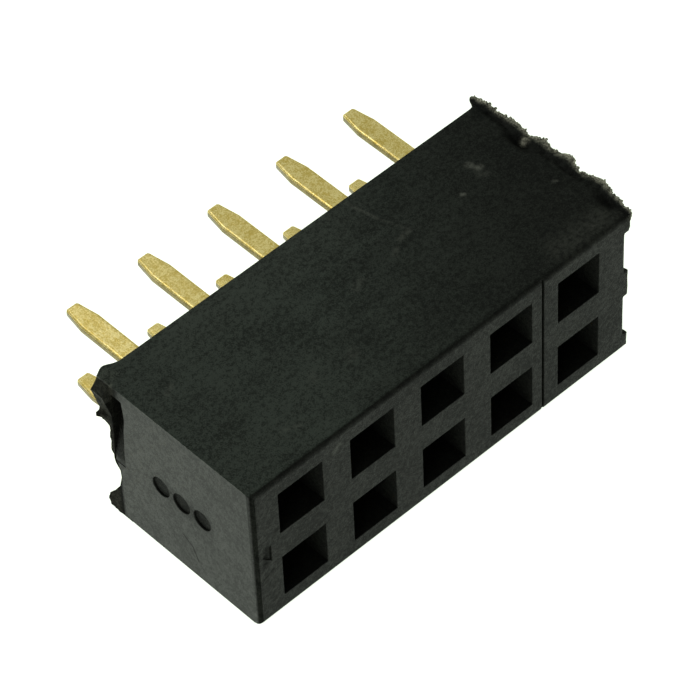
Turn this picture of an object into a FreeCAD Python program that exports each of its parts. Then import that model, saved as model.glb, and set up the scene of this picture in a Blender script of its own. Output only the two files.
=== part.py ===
import FreeCAD, Part
import os
import Sketcher

# Female pin header strip: one moulded housing with two rows of square sockets, cut from a longer
# strip through its next position, and one stamped contact in each socket.
#
# Frame, in millimetres: +X runs along the row, +Y points out of the board side along the solder
# tails, and +Z is up with the strip lying on its long side. The origin is on the board side,
# midway between the rows and at the middle column.

COLUMNS = 5

DIMENSIONS = [
    # alias, value in mm, what it sets
    ("pitch", 2.54, "from one contact to the next, along the row and between the rows"),
    ("body_depth", 5.85, "socket face to board side"),
    ("body_width", 5.30, "across both rows"),
    ("moulded_margin", 1.68, "first column to the moulded end"),
    ("cut_margin", 1.93, "last column to the cut end"),
    ("face_round", 0.18, "radius round the socket face"),
    ("socket_side", 1.56, "side of a square socket"),
    ("socket_depth", 4.45, "depth of a socket"),
    ("score_width", 0.09, "width of the line across the socket face"),
    ("score_depth", 0.08, "depth of that line"),
    ("score_shift", 0.08, "from the middle of the wall to that line"),
    ("relief_width", 1.90, "board side relief round each pair of tails, along the row"),
    ("relief_height", 3.90, "the same relief, across the rows"),
    ("relief_depth", 0.45, "depth of the relief"),
    ("seat_clearance", 0.01, "gap between a contact's seat and its slot, each side"),
    ("strip", 0.25, "thickness of the contact's sheet metal"),
    ("seat_width", 1.30, "outside width of the contact's folded seat"),
    ("seat_height", 0.70, "height of the folded sides"),
    ("seat_length", 1.10, "length of the folded seat, along the tail"),
    ("shoulder_width", 1.60, "stop that rests on the floor of the relief"),
    ("shoulder_length", 0.25, "the stop's length along the tail"),
    ("spring_length", 2.10, "from the seat to where the springs grip"),
    ("flare_length", 0.65, "from the grip to the tips of the springs"),
    ("grip_gap", 0.40, "gap between the springs where they grip"),
    ("tip_gap", 0.74, "gap between the tips of the springs"),
    ("tail_width", 0.66, "width of a solder tail"),
    ("upper_tail", 3.10, "upper tails beyond the board side"),
    ("lower_tail", 3.00, "lower tails beyond the board side"),
    ("taper_length", 0.75, "length of a tail's taper"),
    ("tip_width", 0.43, "width at a tail's tip"),
    ("tip_corner", 0.05, "corner taken off a tail's tip"),
    ("dimple_radius", 0.33, "radius of a dimple in the moulded end"),
    ("dimple_spacing", 0.80, "from one dimple to the next"),
    ("dimple_depth", 0.07, "depth of a dimple"),
    ("dimple_place", 3.00, "board side to the middle dimple"),
    ("mark_width", 0.30, "width of the position mark"),
    ("mark_height", 0.60, "height of the position mark"),
    ("mark_depth", 0.05, "depth of the position mark"),
    ("mark_inset", 0.24, "moulded end to the position mark"),
    ("groove_width", 0.42, "groove across the moulded end"),
    ("groove_depth", 0.30, "depth of that groove"),
    ("groove_place", 0.42, "board side to the groove"),
    ("groove_cover", 0.35, "wall left over the groove's upper end"),
    ("groove_reach", 0.42, "how far the groove goes below the middle"),
    ("notch_depth", 0.56, "depth of the gap torn in the moulded end's edge"),
    ("notch_top", 0.95, "the torn gap's upper end"),
    ("notch_rise", 0.50, "lower long side to the torn gap's lower end"),
    ("lip_reach", 0.28, "how far the torn lip curls past the moulded end"),
    ("lip_drop", 0.05, "upper long side to the torn lip's upper end"),
    ("peak_drop", 0.30, "upper long side to where the torn lip stands out most"),
    ("burr_thickness", 0.35, "thickness of the burr along the cut end"),
    ("burr_reach", 0.28, "how far the burr stands out, on average"),
    ("burr_ripple", 0.10, "how far its teeth rise and fall about that"),
]
BURR_TEETH = 7
# The torn gap's ragged edge: each corner's share of the gap's depth, and of its length from
# the gap's upper end.
TORN_EDGE = [(0.45, 0.03), (0.39, 0.29), (0.59, 0.44), (1.0, 0.54), (0.98, 0.63), (0.75, 0.79)]
# Where the torn lip turns in again below its peak: its share of the lip's reach, and of the
# height between the gap and the peak.
LIP_SHARES = (0.2, 0.4)

doc = FreeCAD.newDocument("HeaderStrip")
sheet = doc.addObject("Spreadsheet::Sheet", "Dimensions")
for row, (alias, value, meaning) in enumerate(DIMENSIONS, start=1):
    sheet.set("A%d" % row, meaning)
    sheet.set("B%d" % row, str(value))
    sheet.setAlias("B%d" % row, alias)
reader = doc.addObject("App::FeaturePython", "RuleReader")
reader.addProperty("App::PropertyFloat", "Millimetres")
doc.recompute()

ALIASES = sorted((alias for alias, value, meaning in DIMENSIONS), key=len, reverse=True)


def rule(text):
    """Turn plain words of the sheet, such as "pitch / 2", into a document expression."""
    words = text.replace("(", " ( ").replace(")", " ) ").split()
    return " ".join("Dimensions." + word if word in ALIASES else word for word in words)


def size(text):
    """The value of a rule now, in millimetres, read from a property that is bound to it."""
    reader.setExpression("Millimetres", rule(text))
    reader.recompute()
    return reader.Millimetres


# Places along the row and across it, as rules of the sheet.
HALF_COLUMNS = (COLUMNS - 1) / 2
MOULDED_END = "( 0 - %g * pitch - moulded_margin )" % HALF_COLUMNS
CUT_END = "( %g * pitch + cut_margin )" % HALF_COLUMNS
HALF_WIDTH = "body_width / 2"
FIRST_COLUMN = "( 0 - %g * pitch )" % HALF_COLUMNS
ROWS = {"upper": "pitch / 2", "lower": "0 - pitch / 2"}


def new_body(name):
    body = doc.addObject("PartDesign::Body", name)
    body.Label = name
    return body


def new_sketch(body, name, plane, offset="0"):
    """A sketch on one of the body's own origin planes, moved along the plane's normal."""
    sketch = body.newObject("Sketcher::SketchObject", name)
    origin_plane = [part for part in body.Origin.OriginFeatures if part.Role == plane][0]
    sketch.AttachmentSupport = [(origin_plane, "")]
    sketch.MapMode = "FlatFace"
    sketch.setExpression("AttachmentOffset.Base.z", rule(offset))
    return sketch


def draw_polygon(sketch, corners):
    """A closed outline; each corner is tied to the sheet by its two rules."""
    places = [FreeCAD.Vector(size(across), size(along), 0) for across, along in corners]
    first = sketch.GeometryCount
    count = len(places)
    for index in range(count):
        sketch.addGeometry(Part.LineSegment(places[index], places[(index + 1) % count]), False)
    for index in range(count):
        following = first + (index + 1) % count
        sketch.addConstraint(Sketcher.Constraint("Coincident", first + index, 2, following, 1))
    for index, (across, along) in enumerate(corners):
        for kind, words, now in (
            ("DistanceX", across, places[index].x),
            ("DistanceY", along, places[index].y),
        ):
            number = sketch.addConstraint(Sketcher.Constraint(kind, -1, 1, first + index, 1, now))
            sketch.setExpression("Constraints[%d]" % number, rule(words))


def draw_rectangle(sketch, left, right, low, high):
    draw_polygon(sketch, [(left, low), (right, low), (right, high), (left, high)])


def draw_circle(sketch, across, along, radius):
    centre = FreeCAD.Vector(size(across), size(along), 0)
    circle = sketch.addGeometry(Part.Circle(centre, FreeCAD.Vector(0, 0, 1), size(radius)), False)
    for kind, words, now in (("DistanceX", across, centre.x), ("DistanceY", along, centre.y)):
        number = sketch.addConstraint(Sketcher.Constraint(kind, -1, 1, circle, 3, now))
        sketch.setExpression("Constraints[%d]" % number, rule(words))
    number = sketch.addConstraint(Sketcher.Constraint("Radius", circle, size(radius)))
    sketch.setExpression("Constraints[%d]" % number, rule(radius))


def pad(body, name, sketch, length, reversed_side=False):
    feature = body.newObject("PartDesign::Pad", name)
    feature.Profile = sketch
    feature.setExpression("Length", rule(length))
    feature.Reversed = reversed_side
    doc.recompute()
    return feature


def pocket(body, name, sketch, length, reversed_side=False):
    """Cut a sketch into the body, and make sure that it took something away."""
    before = body.Shape.Volume
    feature = body.newObject("PartDesign::Pocket", name)
    feature.Profile = sketch
    feature.setExpression("Length", rule(length))
    feature.Reversed = reversed_side
    doc.recompute()
    if body.Shape.Volume >= before:
        raise RuntimeError(name + " took nothing away")
    return feature


def repeat_along_row(body, name, feature, occurrences):
    """Repeat a feature at each further column, one pitch apart."""
    before = body.Shape.Volume
    pattern = body.newObject("PartDesign::LinearPattern", name)
    pattern.Originals = [feature]
    x_axis = [part for part in body.Origin.OriginFeatures if part.Role == "X_Axis"][0]
    pattern.Direction = (x_axis, [""])
    pattern.Mode = "Extent"
    pattern.Occurrences = occurrences
    pattern.setExpression("Length", rule("pitch * %d" % (occurrences - 1)))
    body.Tip = pattern
    doc.recompute()
    if body.Shape.Volume >= before:
        raise RuntimeError(name + " repeated nothing")
    return pattern


def make_block(body):
    """The plain moulding, with a small radius round the socket face but not at the cut end."""
    sketch = new_sketch(body, "BlockOutline", "XZ_Plane")
    draw_rectangle(sketch, MOULDED_END, CUT_END, "0 - " + HALF_WIDTH, HALF_WIDTH)
    block = pad(body, "Block", sketch, "body_depth")
    face_edges = []
    for number, edge in enumerate(block.Shape.Edges, start=1):
        box = edge.BoundBox
        on_socket_face = abs(box.YMax + size("body_depth")) < 1e-6
        on_cut_end = abs(box.XMin - size(CUT_END)) < 1e-6
        if on_socket_face and not on_cut_end:
            face_edges.append("Edge%d" % number)
    rounding = body.newObject("PartDesign::Fillet", "FaceRound")
    rounding.Base = (block, face_edges)
    rounding.setExpression("Radius", rule("face_round"))
    doc.recompute()


def make_sockets(body):
    """Square sockets in both rows. The pattern has one position more than the strip has
    contacts, and the cut end goes through it, so that only one wall of it is left."""
    sketch = new_sketch(body, "SocketOutline", "XZ_Plane", "body_depth")
    left = FIRST_COLUMN + " - socket_side / 2"
    right = FIRST_COLUMN + " + socket_side / 2"
    for centre in ROWS.values():
        draw_rectangle(sketch, left, right, centre + " - socket_side / 2", centre + " + socket_side / 2")
    sockets = pocket(body, "FirstSockets", sketch, "socket_depth")
    repeat_along_row(body, "Sockets", sockets, COLUMNS + 1)


def make_reliefs(body):
    """A shallow relief round each pair of tails, which keeps the housing off the solder."""
    sketch = new_sketch(body, "ReliefOutline", "XZ_Plane")
    left = FIRST_COLUMN + " - relief_width / 2"
    right = FIRST_COLUMN + " + relief_width / 2"
    draw_rectangle(sketch, left, right, "0 - relief_height / 2", "relief_height / 2")
    relief = pocket(body, "FirstRelief", sketch, "relief_depth", True)
    repeat_along_row(body, "Reliefs", relief, COLUMNS + 1)


def make_slots(body):
    """A slot behind each socket, in which the contact's folded seat is pressed."""
    sketch = new_sketch(body, "SlotOutline", "XZ_Plane")
    half_slot = "seat_width / 2 + seat_clearance"
    half_height = "seat_height / 2 + seat_clearance"
    left = FIRST_COLUMN + " - ( " + half_slot + " )"
    right = FIRST_COLUMN + " + " + half_slot
    for centre in ROWS.values():
        low = centre + " - ( " + half_height + " )"
        draw_rectangle(sketch, left, right, low, centre + " + " + half_height)
    slots = pocket(body, "FirstSlots", sketch, "body_depth - socket_depth", True)
    repeat_along_row(body, "Slots", slots, COLUMNS)


def make_face_marks(body):
    """The fine line between the last two columns, and a triangle beside the first column."""
    sketch = new_sketch(body, "ScoreOutline", "XZ_Plane", "body_depth")
    centre = "( %g * pitch - score_shift )" % (HALF_COLUMNS - 0.5)
    left = centre + " - score_width / 2"
    right = centre + " + score_width / 2"
    draw_rectangle(sketch, left, right, "0 - " + HALF_WIDTH, HALF_WIDTH)
    pocket(body, "ScoreLine", sketch, "score_depth")
    sketch = new_sketch(body, "MarkOutline", "XZ_Plane", "body_depth")
    tip = MOULDED_END + " + mark_inset"
    base = MOULDED_END + " + mark_inset + mark_width"
    draw_polygon(sketch, [(tip, "0"), (base, "0 - mark_height / 2"), (base, "mark_height / 2")])
    pocket(body, "PositionMark", sketch, "mark_depth")


def make_end_details(body):
    """Three dimples in the moulded end, and its torn board side edge: a groove, a gap in the
    wall behind it, and a lip that curls outwards above the gap."""
    sketch = new_sketch(body, "DimpleOutline", "YZ_Plane", MOULDED_END)
    for step in (-1, 0, 1):
        draw_circle(sketch, "0 - dimple_place + %d * dimple_spacing" % step, "0", "dimple_radius")
    pocket(body, "Dimples", sketch, "dimple_depth", True)

    sketch = new_sketch(body, "GrooveOutline", "YZ_Plane", MOULDED_END)
    near = "0 - groove_place"
    far = "0 - groove_place - groove_width"
    draw_rectangle(sketch, far, near, "0 - groove_reach", HALF_WIDTH + " - groove_cover")
    pocket(body, "EndGroove", sketch, "groove_depth", True)

    sketch = new_sketch(body, "NotchOutline", "YZ_Plane", MOULDED_END)
    foot = "( notch_rise - " + HALF_WIDTH + " )"
    corners = [("0", "notch_top")]
    for depth_share, length_share in TORN_EDGE:
        along = "notch_top - %g * ( notch_top - %s )" % (length_share, foot)
        corners.append(("0 - %g * notch_depth" % depth_share, along))
    corners.append(("0", foot))
    draw_polygon(sketch, corners)
    pocket(body, "TornNotch", sketch, "moulded_margin - relief_width / 2", True)

    sketch = new_sketch(body, "LipOutline", "XZ_Plane")
    reach_share, height_share = LIP_SHARES
    peak = HALF_WIDTH + " - peak_drop"
    corners = [(MOULDED_END, HALF_WIDTH + " - lip_drop")]
    corners.append((MOULDED_END + " - lip_reach", peak))
    turn = "notch_top + %g * ( %s - notch_top )" % (height_share, peak)
    corners.append((MOULDED_END + " - %g * lip_reach" % reach_share, turn))
    corners.append((MOULDED_END, "notch_top"))
    draw_polygon(sketch, corners)
    pad(body, "TornLip", sketch, "groove_place")


def make_burr(body):
    """The ragged burr that the cutter left along the upper edge of the cut end."""
    sketch = new_sketch(body, "BurrOutline", "XY_Plane", HALF_WIDTH + " - burr_thickness")
    corners = [(CUT_END, "0")]
    for tooth in range(BURR_TEETH + 1):
        sign = "-" if tooth % 2 else "+"
        reach = CUT_END + " + burr_reach " + sign + " burr_ripple"
        corners.append((reach, "0 - %g * ( body_depth - face_round )" % (tooth / BURR_TEETH)))
    corners.append((CUT_END, "0 - ( body_depth - face_round )"))
    draw_polygon(sketch, corners)
    pad(body, "Burr", sketch, "burr_thickness")


def make_housing():
    body = new_body("housing")
    make_block(body)
    make_sockets(body)
    make_reliefs(body)
    make_slots(body)
    make_face_marks(body)
    make_end_details(body)
    make_burr(body)
    return body


def draw_web(sketch, tail):
    """The flat middle of a contact: solder tail, stop, and the web of its folded seat."""
    half_tail = "tail_width / 2"
    half_tip = "tip_width / 2"
    half_stop = "shoulder_width / 2"
    half_seat = "seat_width / 2"
    stop_front = "0 - relief_depth"
    stop_back = "0 - relief_depth + shoulder_length"
    right_side = [
        (half_seat, "0 - relief_depth - seat_length"),
        (half_seat, stop_front),
        (half_stop, stop_front),
        (half_stop, stop_back),
        (half_tail, stop_back),
        (half_tail, tail + " - taper_length"),
        (half_tip, tail + " - tip_corner"),
        (half_tip + " - tip_corner", tail),
    ]
    left_side = [("0 - ( " + across + " )", along) for across, along in reversed(right_side)]
    draw_polygon(sketch, right_side + left_side)


def draw_spring(sketch, side):
    """One folded side: straight in its slot, closing to the grip, then flaring to its tip."""
    front = "0 - relief_depth - seat_length"
    grip = front + " - spring_length"
    outer = [
        ("seat_width / 2", "0 - relief_depth"),
        ("seat_width / 2", front),
        ("grip_gap / 2 + strip", grip),
        ("tip_gap / 2 + strip", grip + " - flare_length"),
    ]
    inner = [
        ("tip_gap / 2", grip + " - flare_length"),
        ("grip_gap / 2", grip),
        ("seat_width / 2 - strip", front),
        ("seat_width / 2 - strip", "0 - relief_depth"),
    ]
    draw_polygon(sketch, [("%d * ( %s )" % (side, across), along) for across, along in outer + inner])


def make_contact(row, column):
    """A stamped contact: its web lies at the top of the folded sides, so that the tail is a
    little above the middle of its socket."""
    body = new_body("contact_%s_%d" % (row, column + 1))
    sketch = new_sketch(body, "WebOutline", "XY_Plane", "seat_height / 2 - strip")
    draw_web(sketch, row + "_tail")
    pad(body, "Web", sketch, "strip")
    for side, name in ((-1, "LeftSpring"), (1, "RightSpring")):
        sketch = new_sketch(body, name + "Outline", "XY_Plane", "0 - seat_height / 2")
        draw_spring(sketch, side)
        pad(body, name, sketch, "seat_height")
    body.setExpression("Placement.Base.x", rule("%g * pitch" % (column - HALF_COLUMNS)))
    body.setExpression("Placement.Base.z", rule(ROWS[row]))
    doc.recompute()
    return body


pieces = [make_housing()]
for row in ROWS:
    for column in range(COLUMNS):
        pieces.append(make_contact(row, column))
doc.recompute()

for item in doc.Objects:
    if "Invalid" in item.State or "Error" in item.State:
        raise RuntimeError("%s failed: %s" % (item.Name, item.State))
for piece in pieces:
    if piece.Shape.isNull() or not piece.Shape.isValid() or len(piece.Shape.Solids) != 1:
        raise RuntimeError("%s is not one valid solid" % piece.Label)

os.makedirs("parts", exist_ok=True)
for piece in pieces:
    piece.Shape.exportStep("parts/%s.step" % piece.Label)
    box = piece.Shape.BoundBox
    print(
        "%-18s volume %8.3f mm3  x %6.2f..%6.2f  y %6.2f..%6.2f  z %6.2f..%6.2f"
        % (piece.Label, piece.Shape.Volume, box.XMin, box.XMax, box.YMin, box.YMax, box.ZMin, box.ZMax)
    )
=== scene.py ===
# %% [markdown]
# # Female pin header strip
# The strip is one black plastic moulding with ten gold contacts in it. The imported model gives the
# true sizes and places, so every piece below starts from it: the housing gets its torn ends and
# worn plastic, and the contacts get the soft edges and plating of stamped metal.

# %% Load the frame
import math

import bmesh
import bpy
from mathutils import Matrix, Vector, noise


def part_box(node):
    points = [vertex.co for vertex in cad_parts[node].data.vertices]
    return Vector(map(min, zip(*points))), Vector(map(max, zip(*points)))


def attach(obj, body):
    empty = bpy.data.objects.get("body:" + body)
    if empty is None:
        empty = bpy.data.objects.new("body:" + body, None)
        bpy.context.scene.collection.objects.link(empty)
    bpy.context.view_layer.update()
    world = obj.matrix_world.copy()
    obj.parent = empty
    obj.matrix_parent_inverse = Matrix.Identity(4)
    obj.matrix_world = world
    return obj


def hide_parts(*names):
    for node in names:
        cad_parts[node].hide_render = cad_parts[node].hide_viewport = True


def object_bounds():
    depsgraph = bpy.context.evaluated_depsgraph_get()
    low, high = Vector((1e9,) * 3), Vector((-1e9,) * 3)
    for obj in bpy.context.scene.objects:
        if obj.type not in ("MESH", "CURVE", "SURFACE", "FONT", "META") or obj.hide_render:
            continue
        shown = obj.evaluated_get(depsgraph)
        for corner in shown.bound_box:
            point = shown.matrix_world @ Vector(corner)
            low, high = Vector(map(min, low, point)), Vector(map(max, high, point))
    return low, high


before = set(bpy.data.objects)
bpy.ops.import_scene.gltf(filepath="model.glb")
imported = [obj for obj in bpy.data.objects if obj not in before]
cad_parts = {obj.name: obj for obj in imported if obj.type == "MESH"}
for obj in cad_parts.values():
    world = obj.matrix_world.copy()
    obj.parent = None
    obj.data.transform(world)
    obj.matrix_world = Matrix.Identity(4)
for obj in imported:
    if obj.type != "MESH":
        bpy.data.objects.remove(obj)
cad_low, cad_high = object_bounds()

MM = 0.001
NOISE_SEED = 4
noise.seed_set(NOISE_SEED)
print("CAD box in mm:", [round(x / MM, 2) for x in cad_high - cad_low])

# %% [markdown]
# The camera stands far off with a long lens, as for a small part on a table: from that distance
# the long edges stay almost parallel. It is placed by its direction from the point it looks at,
# and then turned a little about its own axis.

# %% Camera
AIM = Vector((0.097, -2.155, -0.162)) * MM
CAMERA_DISTANCE = 113.1 * MM
CAMERA_AZIMUTH = math.radians(-41.41)
CAMERA_ELEVATION = math.radians(48.75)
CAMERA_ROLL = math.radians(-2.92)
LENS = 216.5
SENSOR_WIDTH = 36

to_camera = Vector(
    (
        math.sin(CAMERA_AZIMUTH) * math.cos(CAMERA_ELEVATION),
        -math.cos(CAMERA_AZIMUTH) * math.cos(CAMERA_ELEVATION),
        math.sin(CAMERA_ELEVATION),
    )
)
camera_data = bpy.data.cameras.new("camera")
camera_data.lens = LENS
camera_data.sensor_width = SENSOR_WIDTH
camera_data.clip_start = 1 * MM
camera_data.clip_end = 10
camera = bpy.data.objects.new("camera", camera_data)
looking = (-to_camera).to_track_quat("-Z", "Y")
camera.matrix_world = (
    Matrix.Translation(AIM + to_camera * CAMERA_DISTANCE)
    @ looking.to_matrix().to_4x4()
    @ Matrix.Rotation(CAMERA_ROLL, 4, "Z")
)
bpy.context.scene.collection.objects.link(camera)
bpy.context.scene.camera = camera
bpy.context.scene.view_settings.view_transform = "Standard"

# %% [markdown]
# The strip lies on a white light table, as small parts do for a catalogue. Black plastic has little
# colour of its own, so what tells its faces apart is what they mirror: the ends and the socket face
# look down at the bright table, and the top looks up into the dimmer room. The room is brighter at
# the back than at the front, which leaves a dark line on the rounded upper edge of the socket face.

# %% Table and room
def shader(name):
    """A new material, its node tree and its main shader."""
    material = bpy.data.materials.new(name)
    material.use_nodes = True
    return material, material.node_tree, material.node_tree.nodes["Principled BSDF"]


def add_node(tree, kind, links=None, **settings):
    """Add a node, set its plain properties, and feed its inputs with sockets or numbers."""
    made = tree.nodes.new(kind)
    for name, value in settings.items():
        setattr(made, name, value)
    for name, value in (links or {}).items():
        if isinstance(value, bpy.types.NodeSocket):
            tree.links.new(value, made.inputs[name])
        else:
            made.inputs[name].default_value = value
    return made


def ramp(tree, value, low, high, to_low=0.0, to_high=1.0):
    """Stretch a value between two limits, smoothly, and clamp it."""
    made = add_node(
        tree,
        "ShaderNodeMapRange",
        {"Value": value, "From Min": low, "From Max": high, "To Min": to_low, "To Max": to_high},
        interpolation_type="SMOOTHSTEP",
    )
    return made.outputs["Result"]


def object_from(bm, name, material):
    """Turn a mesh drawn in millimetres into an object in metres."""
    bmesh.ops.scale(bm, vec=(MM, MM, MM), verts=bm.verts)
    mesh = bpy.data.meshes.new(name)
    bm.to_mesh(mesh)
    bm.free()
    mesh.materials.append(material)
    made = bpy.data.objects.new(name, mesh)
    bpy.context.scene.collection.objects.link(made)
    return made


TABLE_RADIUS = 1200
TABLE_GAP = 0.002
TABLE_COLOUR = (0.84, 0.84, 0.83, 1)
TABLE_GLOW = (0.91, 1, 0.87, 1)
table_material, table_tree, table_shader = shader("light_table")
table_shader.inputs["Base Color"].default_value = TABLE_COLOUR
table_shader.inputs["Roughness"].default_value = 0.8
table_shader.inputs["Emission Color"].default_value = TABLE_GLOW
table_shader.inputs["Emission Strength"].default_value = 1.02
table_mesh = bmesh.new()
bmesh.ops.create_circle(table_mesh, cap_ends=True, segments=64, radius=TABLE_RADIUS)
bmesh.ops.translate(table_mesh, verts=table_mesh.verts, vec=(0, 0, cad_low.z / MM - TABLE_GAP))
table = object_from(table_mesh, "table", table_material)

BRIGHT_SIDE = Vector((0.20, 0.78, 0.59)).normalized()
ROOM_COLOUR = (0.91, 1, 0.86, 1)
DIM_GLOW = 0.12
BRIGHT_GLOW = 0.56
world = bpy.data.worlds.new("room")
world.use_nodes = True
room = world.node_tree
direction = add_node(room, "ShaderNodeTexCoord").outputs["Generated"]
facing = add_node(
    room, "ShaderNodeVectorMath", {0: direction, 1: BRIGHT_SIDE}, operation="DOT_PRODUCT"
)
glow = ramp(room, facing.outputs["Value"], 0.15, 1.0, DIM_GLOW, BRIGHT_GLOW)
room.links.new(glow, room.nodes["Background"].inputs["Strength"])
room.nodes["Background"].inputs["Color"].default_value = ROOM_COLOUR
bpy.context.scene.world = world


def soft_light(name, place, width, power):
    """A square soft light that faces the strip; place is its centre in metres."""
    data = bpy.data.lights.new(name, "AREA")
    data.shape = "SQUARE"
    data.size = width
    data.energy = power
    lamp = bpy.data.objects.new(name, data)
    lamp.location = place
    lamp.rotation_mode = "QUATERNION"
    lamp.rotation_quaternion = Vector(place).to_track_quat("Z", "Y")
    lamp.visible_camera = False
    bpy.context.scene.collection.objects.link(lamp)
    return lamp


soft_light("small_back_light", (0.000, 0.026, 0.036), 0.014, 0.0016)
soft_light("left_light", (-0.40, -0.16, 0.20), 0.25, 0.55)

# %% [markdown]
# The housing is black, glass-filled plastic. It is hardly ever one even black: the surface is
# finely mottled, and handling leaves pale scuffs and scratches. A thin grey film on the top, drawn
# out along the row, is partly painted light: it is palest at the back of the moulded end, where
# more light falls, and it grows fainter towards the cut end. A broad pale band over the back of the
# top is painted light too. The moulded end is smoother than the rest and mirrors more. Where the
# strip was cut and torn, the fibres and stress marks make it paler and rough. Two named attributes
# carry
# that from the mesh: one for the pale plastic, which also holds a painted highlight on the outer
# rim of the burr and painted light on the side of the lip at the torn corner, and one for painted
# shade in the cracks, grooves and hollows. A scuff is a soft band round a short line in space, and
# one below zero is a dark mark, which joins the painted shade. The material is made twice: the
# faces deepest in painted shade, and the round of the upright edge by the socket face, where shade
# is painted too, get a copy with hardly any gloss, because a gloss is one number for a whole
# material.

# %% Housing plastic
def maths(tree, operation, first, second=0.0):
    made = add_node(tree, "ShaderNodeMath", {0: first, 1: second}, operation=operation)
    return made.outputs[0]


def weighed(tree, parts):
    """Add up values, each times its weight."""
    total = None
    for value, weight in parts:
        part = maths(tree, "MULTIPLY", value, weight)
        total = part if total is None else maths(tree, "ADD", total, part)
    return total


def mix_colour(tree, factor, first, second):
    made = add_node(tree, "ShaderNodeMix", {"Factor": factor}, data_type="RGBA")
    for socket, value in ((made.inputs[6], first), (made.inputs[7], second)):
        if isinstance(value, bpy.types.NodeSocket):
            tree.links.new(value, socket)
        else:
            socket.default_value = value
    return made.outputs[2]


def grain(tree, place, size, detail=4, roughness=0.55):
    """Noise whose marks are about as large as size, in millimetres."""
    made = add_node(
        tree,
        "ShaderNodeTexNoise",
        {"Vector": place, "Scale": 1 / (size * MM), "Detail": detail, "Roughness": roughness},
    )
    return made.outputs["Fac"]


def near_line(tree, place, start, end, half_width):
    """One close to a short line, falling smoothly to nothing; places in millimetres."""
    start = Vector(start) * MM
    run = Vector(end) * MM - start
    away = add_node(tree, "ShaderNodeVectorMath", {0: place, 1: start}, operation="SUBTRACT")
    along = add_node(
        tree,
        "ShaderNodeVectorMath",
        {0: away.outputs["Vector"], 1: run / max(run.length_squared, 1e-12)},
        operation="DOT_PRODUCT",
    )
    share = add_node(tree, "ShaderNodeClamp", {"Value": along.outputs["Value"]})
    nearest = add_node(
        tree, "ShaderNodeVectorMath", {0: run, "Scale": share.outputs["Result"]}, operation="SCALE"
    )
    distance = add_node(
        tree,
        "ShaderNodeVectorMath",
        {0: away.outputs["Vector"], 1: nearest.outputs["Vector"]},
        operation="DISTANCE",
    )
    return ramp(tree, distance.outputs["Value"], 0, half_width * MM, 1, 0)


TOP = cad_high.z / MM
END_FACE = -6.76
SCUFFS_AND_PAINTED_LIGHT = [
    # start, end, half width in mm, how pale
    ((2.00, -0.15, TOP), (2.20, -1.15, TOP), 0.09, 0.38),
    ((2.20, -1.15, TOP), (2.50, -2.00, TOP), 0.08, 0.16),
    ((5.29, -1.47, TOP), (5.31, -1.52, TOP), 0.17, 1.00),
    ((5.38, -1.72, TOP), (5.45, -1.75, TOP), 0.18, 0.85),
    ((5.25, -1.95, TOP), (5.40, -2.05, TOP), 0.20, 0.25),
    ((4.40, -2.12, TOP), (4.44, -2.16, TOP), 0.11, 0.90),
    ((2.10, -2.10, TOP), (2.50, -2.05, TOP), 0.15, 0.35),
    ((1.60, -2.40, TOP), (1.80, -2.30, TOP), 0.13, 0.25),
    ((0.05, -2.55, TOP), (0.35, -2.45, TOP), 0.22, 0.25),
    ((-5.90, -1.75, TOP), (-5.65, -1.60, TOP), 0.16, 0.28),
    ((-4.70, -4.75, TOP), (-4.20, -4.95, TOP), 0.10, 0.25),
    ((-1.70, -4.20, TOP), (-1.50, -4.10, TOP), 0.28, 0.20),
    ((-2.90, -4.10, TOP), (-2.80, -3.90, TOP), 0.22, 0.18),
    ((6.48, -3.52, TOP), (6.54, -3.58, TOP), 0.09, 0.50),
    ((6.06, -5.41, TOP), (6.10, -5.43, TOP), 0.09, 0.60),
    ((4.90, -5.35, TOP), (6.45, -5.42, TOP), 0.75, 0.20),
    # A broad pale band over the back of the top: painted light, the back of the top lit more than
    # the front.
    ((-4.30, -0.30, TOP), (1.20, -0.30, TOP), 1.50, 0.07),
    ((-3.90, -5.85, 2.05), (-3.70, -5.85, 2.20), 0.14, 0.30),
    ((END_FACE, -2.30, 0.0), (END_FACE, -3.75, 0.0), 0.62, -0.40),
    ((END_FACE, -2.95, -1.30), (END_FACE, -3.30, -1.52), 0.05, -0.60),
    ((END_FACE, -3.30, -1.52), (END_FACE, -3.50, -1.95), 0.05, -0.60),
    ((-6.42, -5.85, -0.30), (-6.36, -5.85, 0.25), 0.20, -0.55),
    ((-6.50, -5.85, -0.85), (-6.20, -5.85, -0.70), 0.08, -0.45),
    ((-6.10, -5.85, 0.55), (-5.95, -5.85, 0.80), 0.10, -0.35),
]


DARK_PLASTIC = (0.0016, 0.0020, 0.0014, 1)
LIGHT_PLASTIC = (0.0095, 0.0105, 0.0082, 1)
GREY_FILM_AND_PAINTED_LIGHT = (0.046, 0.056, 0.047, 1)
PALE_SPECK = (0.05, 0.05, 0.045, 1)
SCUFF_AND_PAINTED_LIGHT_GREY = (0.12, 0.122, 0.105, 1)
# The black of painted shade and of dark marks.
SHADE_AND_MARK_BLACK = (0.0006, 0.0006, 0.0005, 1)
TORN_DARK = (0.09, 0.09, 0.068, 1)
TORN_PALE = (0.66, 0.64, 0.51, 1)
# The side where the grey film on the top, partly painted light, is palest: the back left, where
# more light falls.
PAINTED_LIGHT_SIDE = (-0.85, 0.53, 0)
RELIEF_DEPTH = 0.02 * MM
USUAL_GLOSS = 0.155
SHADE_GLOSS = 0.03


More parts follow.
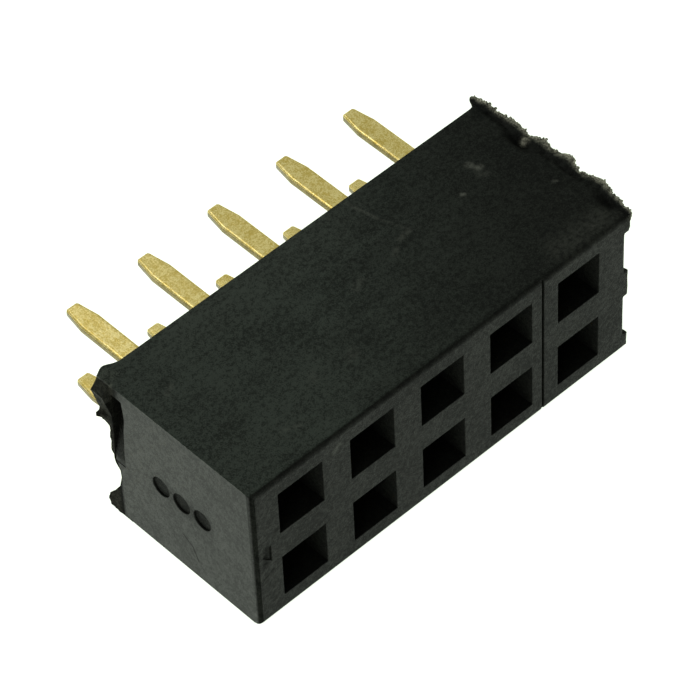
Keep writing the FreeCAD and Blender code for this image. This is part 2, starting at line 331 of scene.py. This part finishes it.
def housing_plastic(name, gloss):
    material, tree, plastic = shader(name)
    plastic.inputs["Specular IOR Level"].default_value = gloss
    place = add_node(tree, "ShaderNodeTexCoord").outputs["Object"]
    torn_and_painted_light = add_node(tree, "ShaderNodeAttribute", attribute_name="torn_and_painted_light").outputs["Fac"]
    painted_shade_and_marks = add_node(tree, "ShaderNodeAttribute", attribute_name="painted_shade_and_marks").outputs["Fac"]
    along_row = add_node(tree, "ShaderNodeSeparateXYZ", {0: place}).outputs["X"]
    upwards = add_node(tree, "ShaderNodeSeparateXYZ", {0: place}).outputs["Z"]
    on_end_face = ramp(tree, along_row, (END_FACE + 0.004) * MM, (END_FACE + 0.02) * MM, 1, 0)
    blotches = grain(tree, place, 1.1)
    mottle = grain(tree, place, 0.14)
    fine = grain(tree, place, 0.036, 1)

    tone = weighed(tree, [(blotches, 0.20), (mottle, 0.38), (fine, 0.42)])
    shade = mix_colour(tree, ramp(tree, tone, 0.40, 0.62), DARK_PLASTIC, LIGHT_PLASTIC)

    # A thin grey film on the top only, streaked along the row, is partly painted light: it is
    # palest at the back left, where more light falls.
    away = add_node(
        tree, "ShaderNodeVectorMath", {0: place, 1: PAINTED_LIGHT_SIDE}, operation="DOT_PRODUCT"
    )
    film_and_painted_light = ramp(tree, away.outputs["Value"], -7.5 * MM, 2.0 * MM, 0.10, 1.0)
    film_and_painted_light = maths(tree, "MULTIPLY", film_and_painted_light, ramp(tree, upwards, (TOP - 0.03) * MM, TOP * MM))
    drawn = add_node(tree, "ShaderNodeMapping", {"Vector": place, "Scale": (0.12, 1, 1)})
    streaks = grain(tree, drawn.outputs["Vector"], 0.30, 3)
    film_and_painted_light = maths(tree, "MULTIPLY", film_and_painted_light, ramp(tree, streaks, 0.32, 0.68, 0.80, 1.10))
    film_and_painted_light = maths(tree, "MULTIPLY", film_and_painted_light, ramp(tree, tone, 0.38, 0.61, 0.35, 1.22))
    shade = mix_colour(tree, film_and_painted_light, shade, GREY_FILM_AND_PAINTED_LIGHT)
    specks = maths(tree, "MULTIPLY", ramp(tree, fine, 0.70, 0.78), 0.3)
    shade = mix_colour(tree, specks, shade, PALE_SPECK)

    broken = ramp(tree, mottle, 0.30, 0.62, 0.25, 1.0)
    # Pale bands are scuffs, except the broad one over the back of the top, which is painted light;
    # dark ones are marks and join the painted shade.
    for start, end, half_width, how_pale in SCUFFS_AND_PAINTED_LIGHT:
        near = near_line(tree, place, start, end, half_width)
        band = maths(tree, "MULTIPLY", near, abs(how_pale))
        if how_pale > 0:
            band = maths(tree, "MULTIPLY", band, broken)
            shade = mix_colour(tree, band, shade, SCUFF_AND_PAINTED_LIGHT_GREY)
        else:
            painted_shade_and_marks = maths(tree, "MAXIMUM", painted_shade_and_marks, band)
    # Painted shade from the mesh, and the dark marks, take the colour towards black.
    shade = mix_colour(tree, painted_shade_and_marks, shade, SHADE_AND_MARK_BLACK)
    crumbly = weighed(tree, [(mottle, 0.5), (fine, 0.5)])
    pale = mix_colour(tree, ramp(tree, crumbly, 0.38, 0.64), TORN_DARK, TORN_PALE)
    tree.links.new(mix_colour(tree, torn_and_painted_light, shade, pale), plastic.inputs["Base Color"])

    rough = ramp(tree, tone, 0.40, 0.62, 0.72, 0.54)
    rough = weighed(tree, [(rough, 1.0), (on_end_face, -0.24), (torn_and_painted_light, 0.12), (painted_shade_and_marks, 0.40)])
    tree.links.new(rough, plastic.inputs["Roughness"])

    unpolished = maths(tree, "SUBTRACT", 1.0, maths(tree, "MULTIPLY", on_end_face, 0.8))
    relief = weighed(tree, [(fine, 1.0), (mottle, 0.4)])
    relief = maths(tree, "MULTIPLY", relief, unpolished)
    bump = add_node(
        tree, "ShaderNodeBump", {"Height": relief, "Strength": 0.8, "Distance": RELIEF_DEPTH}
    )
    tree.links.new(bump.outputs["Normal"], plastic.inputs["Normal"])
    return material


plastic_material = housing_plastic("housing_plastic", USUAL_GLOSS)
# A copy with hardly any gloss, for the faces in painted shade.
shaded_plastic_material = housing_plastic("housing_plastic_shaded", SHADE_GLOSS)

# %% [markdown]
# The contacts are stamped from thin copper alloy plated with gold. The flat sides are gold, a
# little uneven in tone and speckled, and the cut edges, the faces of the tails that look neither up
# nor down, are darker and browner. A face attribute, "cut_edge", tells the two apart.

# %% Contact plating
RICH_GOLD = (0.68, 0.49, 0.12, 1)
WORN_GOLD = (0.98, 0.80, 0.37, 1)
CUT_EDGE_DARK = (0.14, 0.11, 0.04, 1)
CUT_EDGE_LIGHT = (0.28, 0.22, 0.09, 1)


def contact_plating():
    material, tree, gold = shader("contact_plating")
    gold.inputs["Metallic"].default_value = 1.0
    place = add_node(tree, "ShaderNodeTexCoord").outputs["Object"]
    cut_edge = add_node(tree, "ShaderNodeAttribute", attribute_name="cut_edge").outputs["Fac"]
    stretched = add_node(tree, "ShaderNodeMapping", {"Vector": place, "Scale": (1, 0.12, 1)})
    lines = grain(tree, stretched.outputs["Vector"], 0.10)
    patches = grain(tree, place, 0.30)
    speckle = grain(tree, place, 0.040, 1)
    tone = weighed(tree, [(patches, 0.4), (speckle, 0.6)])
    plating = mix_colour(tree, ramp(tree, tone, 0.36, 0.64), RICH_GOLD, WORN_GOLD)
    cut_edge_colour = mix_colour(tree, ramp(tree, tone, 0.36, 0.64), CUT_EDGE_DARK, CUT_EDGE_LIGHT)
    tree.links.new(mix_colour(tree, cut_edge, plating, cut_edge_colour), gold.inputs["Base Color"])
    tree.links.new(ramp(tree, lines, 0.3, 0.7, 0.30, 0.42), gold.inputs["Roughness"])
    relief = weighed(tree, [(lines, 0.5), (tone, 1.0)])
    bump = add_node(
        tree, "ShaderNodeBump", {"Height": relief, "Strength": 0.35, "Distance": RELIEF_DEPTH}
    )
    tree.links.new(bump.outputs["Normal"], gold.inputs["Normal"])
    return material


gold_material = contact_plating()

# %% [markdown]
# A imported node's mesh is loose triangles in metres. A copy is put in millimetres, merged, and its
# flat faces joined again, which leaves long clean edges, ready to be softened. The contacts need
# only little more: a narrow rounded bevel along the outlines of their flat sides, as the punch
# leaves it, and for the lower row a slight downward lean of the tails, bent in handling.

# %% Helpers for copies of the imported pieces
def merged_copy(node):
    bm = bmesh.new()
    bm.from_mesh(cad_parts[node].data)
    bmesh.ops.scale(bm, vec=(1 / MM, 1 / MM, 1 / MM), verts=bm.verts)
    bmesh.ops.remove_doubles(bm, verts=bm.verts, dist=0.0003)
    bmesh.ops.dissolve_limit(bm, angle_limit=math.radians(0.5), verts=bm.verts, edges=bm.edges)
    return bm


def sharp_edges(bm, smallest_angle=30):
    limit = math.radians(smallest_angle)
    return [edge for edge in bm.edges if edge.is_manifold and edge.calc_face_angle() > limit]


def soften(bm, edges, radius, segments, profile=0.5):
    """Round edges off."""
    bmesh.ops.bevel(
        bm,
        geom=edges,
        offset=radius,
        segments=segments,
        profile=profile,
        affect="EDGES",
        clamp_overlap=True,
    )


def smooth_by_angle(bm, degrees):
    """Smooth shading across gentle edges, but a face that looks along an axis stays flat."""
    limit = math.radians(degrees)
    for face in bm.faces:
        face.smooth = max(abs(part) for part in face.normal) < 0.99999
    for edge in bm.edges:
        edge.smooth = edge.is_manifold and edge.calc_face_angle() < limit


# %% Contacts
EDGE_RADIUS = 0.080
LEAN_START = -0.20
LEAN = 0.069
STOP_BACK = -0.45


def lean_down(bm):
    """Lean a tail down from where it leaves its stop, by a steady slope."""
    for vert in bm.verts:
        vert.co.z -= LEAN * max(vert.co.y - LEAN_START, 0)


def rolled_edges(bm):
    """The outlines of the flat sides, which the punch rolls over; not the short upright edges."""
    chosen = []
    for edge in sharp_edges(bm):
        climb = abs(edge.verts[0].co.z - edge.verts[1].co.z)
        if climb < 0.5 * edge.calc_length():
            chosen.append(edge)
    return chosen


def mark_cut_edges(bm):
    """Mark the faces of the tail that the punch cut: those that don't look up or down."""
    layer = bm.faces.layers.float.new("cut_edge")
    for face in bm.faces:
        on_tail = face.calc_center_median().y > STOP_BACK
        face[layer] = 1.0 if on_tail and abs(face.normal.z) < 0.35 else 0.0


CONTACT_NODES = [name for name in sorted(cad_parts) if name.startswith("contact_")]
for node in CONTACT_NODES:
    bm = merged_copy(node)
    if "lower" in node:
        lean_down(bm)
    soften(bm, rolled_edges(bm), EDGE_RADIUS, 3, 0.6)
    mark_cut_edges(bm)
    smooth_by_angle(bm, 40)
    contact = object_from(bm, "plated_" + node, gold_material)
    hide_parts(node)
    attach(contact, "root")
print(len(CONTACT_NODES), "contacts,", len(contact.data.polygons), "faces each")

# %% [markdown]
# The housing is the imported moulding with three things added. Its moulded edges get a small soft
# radius, a little larger round the board side. The cut end is ragged, because the cutter went
# through a row of sockets and tore the thin walls: there the faces are cut into a fine mesh, and
# each point is moved by a rule of its place. The board side corner of the moulded end is torn in
# the same way. A smooth noise from Blender's own library drives both. Its seed would be the clock,
# so a number sets it at the start, and mesh parts are listed in a fixed order: that gives the same
# shape each time. Nothing is moved below the long side on which the strip lies.

# %% Housing: the moulding and its soft edges
def along_outline(outline, value):
    """Read a value off a line of points that is sorted by its first number."""
    for (here, low), (there, high) in zip(outline, outline[1:]):
        if value <= there:
            return low + (high - low) * max(value - here, 0) / (there - here)
    return outline[-1][1]


def outer_face(bm, direction):
    """How far out the largest flat face lies that looks in a direction."""
    facing = [face for face in bm.faces if face.normal.dot(direction) > 0.999]
    largest = max(facing, key=lambda face: face.calc_area())
    return largest.calc_center_median().dot(direction)


bm = merged_copy("housing")
cut_end = outer_face(bm, Vector((1, 0, 0)))
moulded_end = -outer_face(bm, Vector((-1, 0, 0)))
top = cad_high.z / MM
front = cad_low.y / MM
burr_tips = sorted(
    {
        (vert.co.y, vert.co.x - cut_end)
        for vert in bm.verts
        if vert.co.x > cut_end + 0.1 and vert.co.z > top - 0.01
    }
)
TEAR_LENGTH = 0.60
CORNER_LENGTH = 0.75
CORNER_DEPTH = 1.15
MOULD_RADIUS = 0.03
BOARD_RIM_RADIUS = 0.09
UPRIGHT_RADIUS = 0.038
corner_limit = moulded_end + CORNER_LENGTH
print("cut end at", round(cut_end, 2), "and moulded end at", round(moulded_end, 2))


def burr_reach(y):
    """How far the burr stands out past the cut end, at a place along it."""
    return along_outline(burr_tips, y)


def in_cut_end(place):
    return place.x > cut_end - TEAR_LENGTH


def in_torn_corner(place):
    return place.x < corner_limit and place.y > -CORNER_DEPTH


def is_clean(edge):
    return not any(in_cut_end(v.co) or in_torn_corner(v.co) for v in edge.verts)


X, Y, Z = Vector((1, 0, 0)), Vector((0, 1, 0)), Vector((0, 0, 1))


def slice_faces(bm, faces, axis, places):
    """Cut faces along planes across an axis, and give back all their parts."""
    edges = dict.fromkeys(edge for face in faces for edge in face.edges)
    verts = dict.fromkeys(vert for face in faces for vert in face.verts)
    geometry = [*faces, *edges, *verts]
    for place in places:
        cut = bmesh.ops.bisect_plane(
            bm, geom=geometry, dist=1e-5, plane_co=axis * place, plane_no=axis
        )
        geometry = cut["geom"]
    return [item for item in geometry if isinstance(item, bmesh.types.BMFace)]


slice_faces(bm, bm.faces[:], X, [cut_end - TEAR_LENGTH, corner_limit])
corner_side = [face for face in bm.faces if face.calc_center_median().x < corner_limit]
slice_faces(bm, corner_side, Y, [-CORNER_DEPTH])


def on_board_rim(edge):
    """The two long edges round the board side, which the mould leaves a little rounder."""
    return all(abs(v.co.y) < 0.01 and abs(v.co.z) > top - 0.01 for v in edge.verts)


def on_upright_edge(edge):
    """The upright edge between the moulded end and the socket face, which gets a wider round;
    painted shade lies on that round.
    """
    return all(v.co.x < moulded_end + 0.2 and v.co.y < front + 0.2 for v in edge.verts)


clean_edges = [edge for edge in sharp_edges(bm) if edge.is_convex and is_clean(edge)]
soften(bm, [edge for edge in clean_edges if on_board_rim(edge)], BOARD_RIM_RADIUS, 4)
upright = [edge for edge in sharp_edges(bm) if edge.is_convex and on_upright_edge(edge)]
soften(bm, upright, UPRIGHT_RADIUS, 3)
clean_edges = [edge for edge in sharp_edges(bm) if edge.is_convex and is_clean(edge)]
soften(bm, clean_edges, MOULD_RADIUS, 2)
print("housing with soft edges:", len(bm.faces), "faces")


# %% Housing: fine faces where it was torn
def steps(low, high, spacing):
    count = math.ceil((high - low) / spacing)
    return [low + (high - low) * index / count for index in range(1, count)]


COARSE = 0.085
RIM = 0.040
RIM_LENGTH = 0.30
RIM_DEPTH = 0.40
box_low, box_high = [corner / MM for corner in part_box("housing")]


def in_rim(place):
    return place.x > cut_end - RIM_LENGTH and place.z > top - RIM_DEPTH


FINE_PARTS = [
    # rule, from and to along x, y and z, and spacing
    (in_cut_end, (cut_end - TEAR_LENGTH, box_high.x), (front, 0), (-top, top), COARSE),
    (in_rim, (cut_end - RIM_LENGTH, box_high.x), (front, 0), (top - RIM_DEPTH, top), RIM),
    (in_torn_corner, (box_low.x, corner_limit), (-CORNER_DEPTH, 0), (-top, top), COARSE),
]
for inside, x_range, y_range, z_range, spacing in FINE_PARTS:
    faces = [face for face in bm.faces if inside(face.calc_center_median())]
    for axis, (low, high) in ((X, x_range), (Y, y_range), (Z, z_range)):
        faces = slice_faces(bm, faces, axis, steps(low, high, spacing))
    print("torn faces:", len(faces))


# %% Housing: the tear
def rise(value, low, high):
    """Zero at low, one at high, smooth between; it falls where low is the larger number."""
    share = min(max((value - low) / (high - low), 0), 1)
    return share * share * (3 - 2 * share)


def bump_at(distance, width):
    return math.exp(-((distance / width) ** 2))


def spot(place, centre, sizes):
    """One at a spot's centre, falling off over its three sizes."""
    return math.exp(-sum(((place[i] - centre[i]) / sizes[i]) ** 2 for i in range(3)))


def wander(value, seed):
    """A smooth random walk along a line, about -1 to 1."""
    return noise.noise(Vector((value, seed * 7.3, seed * 3.1)))


def jitter(place, layers):
    """Add up noise vectors, each with how often it changes in a millimetre and its reach."""
    total = Vector()
    for often, reach in layers:
        total += noise.noise_vector(place * often) * reach
    return total


WALL_NOISE = [(2.6, 0.075)]
CUT_NOISE = [(6.0, 0.025), (15.0, 0.018)]
CORNER_NOISE = [(2.8, 0.05), (8.0, 0.02)]
# How far the torn rim stands out past the cut end, at places along it.
RIM_REACH = [
    (-5.85, 0.12),
    (-5.48, 0.19),
    (-5.00, 0.23),
    (-4.60, 0.42),
    (-4.31, 0.37),
    (-3.84, 0.23),
    (-3.45, 0.36),
    (-3.31, 0.45),
    (-2.78, 0.28),
    (-2.31, 0.37),
    (-1.78, 0.23),
    (-1.37, 0.33),
    (-0.78, 0.26),
    (0.05, 0.29),
]
HOLLOWS = [
    # centre, reach each way, depth
    ((cut_end - 0.10, -1.80, top), (0.16, 0.40, 1), 0.22),
    ((cut_end - 0.10, -5.10, top), (0.16, 0.38, 1), 0.08),
]
RIM_PULLS = [
    # centre, reach each way, how the rim is pulled
    ((cut_end + 0.25, 0.0, top), (0.22, 0.26, 0.30), (-0.26, 0.12, 0.26)),
    ((cut_end + 0.04, -1.87, top), (0.08, 0.09, 0.2), (-0.04, 0.0, 0.18)),
    ((cut_end + 0.15, -5.68, top - 0.1), (0.25, 0.14, 0.5), (-0.02, -0.14, -0.06)),
]
LUMP = ((cut_end + 0.04, -1.87, top), (0.09, 0.10, 0.2))


def torn_cut_end(place):
    """Where a point of the cut end goes, how pale it is, and how much painted shade it gets."""
    near_cut = rise(place.x, cut_end - 0.22, cut_end - 0.02)
    near_cut *= rise(place.y, front - 0.1, front + 0.25)
    in_burr = rise(place.z, top - 0.40, top - 0.34)
    height = rise(place.z, top - 0.36, top)
    face_up = rise(place.z, top - 0.05, top)
    out = max(place.x - cut_end, 0) / burr_reach(place.y)
    coarse = jitter(place, WALL_NOISE) * (1 - in_burr)
    ragged = jitter(place, CUT_NOISE)
    moved = place + coarse * near_cut + ragged * near_cut
    reach = along_outline(RIM_REACH, place.y) + 0.05 * wander(place.y * 6.0, 2)
    moved.x += out * in_burr * (reach - burr_reach(place.y))
    curl = 0.03 + 0.05 * wander(place.y * 2.3, 3) + 0.05 * wander(place.y * 7.0, 5)
    moved.z += in_burr * rise(out, 0.30, 1.0) * (curl * height + 0.14 * (1 - height))
    valley = bump_at(place.x - cut_end - 0.03, 0.09) * (0.04 + 0.05 * wander(place.y * 2.2, 4))
    moved.z -= valley * face_up
    hollow = 0
    for centre, sizes, depth in HOLLOWS:
        here = spot(place, centre, sizes) * face_up
        moved.z -= depth * here
        hollow = max(hollow, here)
    for centre, sizes, pull in RIM_PULLS:
        moved += Vector(pull) * spot(place, centre, sizes)
    # The outer rim is made pale: torn plastic, and a painted highlight where it would catch the
    # light.
    rim = in_burr * rise(out, 0.45, 1.0)
    lump = spot(place, *LUMP)
    lightness = near_cut * max(0.12 * (1 - face_up), 0.9 * rim, lump)
    # Painted shade in the hollows and in a line just inside the rim.
    shade = max(0.9 * hollow, 0.2 * bump_at(place.x - cut_end - 0.02, 0.10))
    shade *= face_up * (1 - rim) * (1 - lump) * rise(place.y, front + 0.3, front + 0.6)
    return moved, lightness, shade


GROOVE_FILL = 0.295
LIP_SIDE = -0.48
CORNER_PULLS = [
    # centre, reach each way, how the corner is pulled
    ((moulded_end + 0.30, 0.0, top), (0.26, 0.22, 0.30), (-0.04, 0.14, 0.05)),
    ((moulded_end, -0.08, 1.26), (0.20, 0.14, 0.10), (-0.22, 0.08, 0.03)),
    ((moulded_end, 0.0, -2.45), (0.20, 0.25, 0.40), (-0.02, 0.10, 0.0)),
]


def torn_corner(place):
    """The same for the torn corner of the moulded end: painted shade lies in the groove, behind the
    torn edge and under the lip, and painted light on the side of the lip.
    """
    on_end = rise(place.x, moulded_end + 0.60, moulded_end + 0.25)
    near_edge = rise(place.y, -0.48, -0.30) * on_end
    round_groove = rise(place.y, -1.10, -0.86) * on_end * rise(place.z, -1.2, -0.4)
    on_lip = rise(place.z, 0.95, 1.5)
    moved = place + jitter(place, CORNER_NOISE) * near_edge * (1 - 0.75 * on_lip)
    moved.y += 0.16 * wander(place.z * 1.3, 6) * round_groove * (1 - near_edge)
    for centre, sizes, pull in CORNER_PULLS:
        moved += Vector(pull) * spot(place, centre, sizes)
    in_groove = rise(place.x, moulded_end + 0.005, moulded_end + 0.03)
    in_groove *= rise(place.y, -0.87, -0.83)
    filled = in_groove * rise(place.x, moulded_end + 0.1, moulded_end + 0.3)
    moved.x -= GROOVE_FILL * filled * rise(place.z, 1.2, -0.4)
    # Painted shade in the groove, darker higher up.
    shade = in_groove * (0.10 + 0.70 * rise(place.z, 0.2, 1.6))
    shade *= rise(place.z, top - 0.02, top - 0.10)
    # Painted shade on the strip behind the torn edge.
    behind = 0.8 * rise(place.y, -0.46, -0.40) * on_end
    behind *= max(rise(place.z, 2.45, 2.20), rise(place.z, -1.5, -1.8))
    lip_side = bump_at(place.y - LIP_SIDE, 0.06) * rise(place.x, moulded_end + 0.15, moulded_end)
    # Painted shade under the lip, and painted light on its side.
    under_lip = 0.8 * lip_side * rise(place.z, 2.1, 1.7)
    lip = lip_side * rise(place.z, 1.9, 2.2)
    lightness = max(0.04 * near_edge, 0.12 * lip)
    return moved, lightness, max(shade, behind, under_lip) * (1 - lip)


torn_and_painted_light_layer = bm.verts.layers.float.new("torn_and_painted_light")
# Painted shade in the cracks, grooves and hollows of the torn places.
painted_shade_layer = bm.verts.layers.float.new("painted_shade_and_marks")
for vert in bm.verts:
    if in_cut_end(vert.co):
        rule = torn_cut_end
    elif in_torn_corner(vert.co):
        rule = torn_corner
    else:
        continue
    vert.co, vert[torn_and_painted_light_layer], vert[painted_shade_layer] = rule(vert.co.copy())
    vert.co.z = max(vert.co.z, -top)

# %% Housing: finish
SHADE_LEVEL = 0.45


def in_painted_shade(face):
    """A face deep in the painted shade of the torn corner, or on the round of the upright edge,
    where shade is painted too.
    """
    centre = face.calc_center_median()
    if centre.x >= corner_limit:
        return False
    depths = [vert[painted_shade_layer] for vert in face.verts]
    on_round = centre.y < front + 0.08 and min(-face.normal.x, -face.normal.y) > 0.3
    return sum(depths) / len(depths) > SHADE_LEVEL or on_round


broken_walls = [
    vert for vert in bm.verts if vert.co.x > cut_end - 0.3 and vert.co.z < top - 0.5
]
for repeat in range(2):
    bmesh.ops.smooth_vert(
        bm, verts=broken_walls, factor=0.5, use_axis_x=True, use_axis_y=True, use_axis_z=True
    )
bmesh.ops.triangulate(bm, faces=[face for face in bm.faces if len(face.verts) > 4])
smooth_by_angle(bm, 38)
# Faces in painted shade get the copy with hardly any gloss.
for face in bm.faces:
    face.material_index = 1 if in_painted_shade(face) else 0
housing = object_from(bm, "moulded_housing", plastic_material)
housing.data.materials.append(shaded_plastic_material)
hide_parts("housing")
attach(housing, "root")
print("housing faces:", len(housing.data.polygons))

# %% [markdown]
# A torn edge is never clean: crumbs of plastic hang along the rim of the burr. They could be placed
# one by one, but they follow a path, so Geometry Nodes put them there: the rim becomes a curve, the
# curve is sampled evenly, and each point gets a small noisy crumb with its own size and turn. The
# seed is fixed, so the crumbs are the same each time. The tree ends by making the crumbs real and
# giving them their material, and the result is kept as a plain mesh.

# %% Crumbs: the tree
FULL_TURN = 6.28
DENT_DEPTH = 1.3
HOW_TORN = 0.9


def crumb_tree():
    tree = bpy.data.node_groups.new("crumbs_along_a_path", "GeometryNodeTree")
    sockets = tree.interface
    sockets.new_socket("Path", in_out="INPUT", socket_type="NodeSocketGeometry")
    sockets.new_socket("Count", in_out="INPUT", socket_type="NodeSocketInt")
    sockets.new_socket("Crumb Radius", in_out="INPUT", socket_type="NodeSocketFloat")
    sockets.new_socket("Spread", in_out="INPUT", socket_type="NodeSocketFloat")
    sockets.new_socket("Seed", in_out="INPUT", socket_type="NodeSocketInt")
    sockets.new_socket("Material", in_out="INPUT", socket_type="NodeSocketMaterial")
    sockets.new_socket("Crumbs", in_out="OUTPUT", socket_type="NodeSocketGeometry")
    given = add_node(tree, "NodeGroupInput").outputs

    curve = add_node(tree, "GeometryNodeMeshToCurve", {"Mesh": given["Path"]})
    points = add_node(
        tree, "GeometryNodeResampleCurve", {"Curve": curve.outputs[0], "Count": given["Count"]}
    )
    away = add_node(
        tree,
        "FunctionNodeRandomValue",
        {0: (-1, -1, -1), 1: (1, 1, 1), "Seed": given["Seed"]},
        data_type="FLOAT_VECTOR",
    )
    shift = add_node(
        tree,
        "ShaderNodeVectorMath",
        {0: away.outputs[0], "Scale": given["Spread"]},
        operation="SCALE",
    )
    spread = add_node(
        tree,
        "GeometryNodeSetPosition",
        {"Geometry": points.outputs[0], "Offset": shift.outputs["Vector"]},
    )

    ball = add_node(tree, "GeometryNodeMeshIcoSphere", {"Radius": 1.0, "Subdivisions": 2})
    lumps = add_node(tree, "ShaderNodeTexNoise", {"Scale": 1.6, "Detail": 2.0})
    centred = add_node(
        tree,
        "ShaderNodeVectorMath",
        {0: lumps.outputs["Color"], 1: (0.5, 0.5, 0.5)},
        operation="SUBTRACT",
    )
    dented = add_node(
        tree,
        "ShaderNodeVectorMath",
        {0: centred.outputs["Vector"], "Scale": DENT_DEPTH},
        operation="SCALE",
    )
    crumb = add_node(
        tree,
        "GeometryNodeSetPosition",
        {"Geometry": ball.outputs["Mesh"], "Offset": dented.outputs["Vector"]},
    )

    marked = add_node(
        tree,
        "GeometryNodeStoreNamedAttribute",
        {"Geometry": crumb.outputs[0], "Name": "torn_and_painted_light", "Value": HOW_TORN},
        data_type="FLOAT",
    )
    turn = add_node(
        tree,
        "FunctionNodeRandomValue",
        {0: (0, 0, 0), 1: (FULL_TURN,) * 3, "Seed": given["Seed"]},
        data_type="FLOAT_VECTOR",
    )
    stretch = add_node(
        tree,
        "FunctionNodeRandomValue",
        {0: (0.4, 0.4, 0.4), 1: (1.5, 1.2, 1.2), "Seed": given["Seed"]},
        data_type="FLOAT_VECTOR",
    )
    scale = add_node(
        tree,
        "ShaderNodeVectorMath",
        {0: stretch.outputs[0], "Scale": given["Crumb Radius"]},
        operation="SCALE",
    )
    placed = add_node(
        tree,
        "GeometryNodeInstanceOnPoints",
        {
            "Points": spread.outputs[0],
            "Instance": marked.outputs[0],
            "Rotation": turn.outputs[0],
            "Scale": scale.outputs["Vector"],
        },
    )
    real = add_node(tree, "GeometryNodeRealizeInstances", {"Geometry": placed.outputs[0]})
    finished = add_node(
        tree,
        "GeometryNodeSetMaterial",
        {"Geometry": real.outputs[0], "Material": given["Material"]},
    )
    add_node(tree, "NodeGroupOutput", {"Crumbs": finished.outputs[0]})
    return tree


# %% Crumbs along the rim
def from_nodes(name, points, tree, values):
    """Run a tree on a line of points, in millimetres, and keep the result as a plain mesh."""
    path_mesh = bpy.data.meshes.new(name + "_path")
    links = [(index, index + 1) for index in range(len(points) - 1)]
    path_mesh.from_pydata([point * MM for point in points], links, [])
    path = bpy.data.objects.new(name, path_mesh)
    bpy.context.scene.collection.objects.link(path)
    modifier = path.modifiers.new(name, "NODES")
    modifier.node_group = tree
    for item in tree.interface.items_tree:
        if item.in_out == "INPUT" and item.name in values:
            modifier[item.identifier] = values[item.name]
    shape = path.evaluated_get(bpy.context.evaluated_depsgraph_get())
    path_result = bpy.data.meshes.new_from_object(shape)
    path.modifiers.remove(modifier)
    path.data = path_result
    path.data.shade_smooth()
    return path


RIM_STEPS = 120
rim_line = []
for step in range(RIM_STEPS + 1):
    y = front * (0.01 + 0.95 * step / RIM_STEPS)
    on_rim = Vector((cut_end + 0.90 * burr_reach(y), y, top))
    rim_line.append(torn_cut_end(on_rim)[0])
crumb_values = {
    "Count": 70,
    "Crumb Radius": 0.045 * MM,
    "Spread": 0.020 * MM,
    "Seed": 4,
    "Material": plastic_material,
}
crumbs = from_nodes("torn_crumbs", rim_line, crumb_tree(), crumb_values)
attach(crumbs, "root")
print("crumb faces:", len(crumbs.data.polygons))
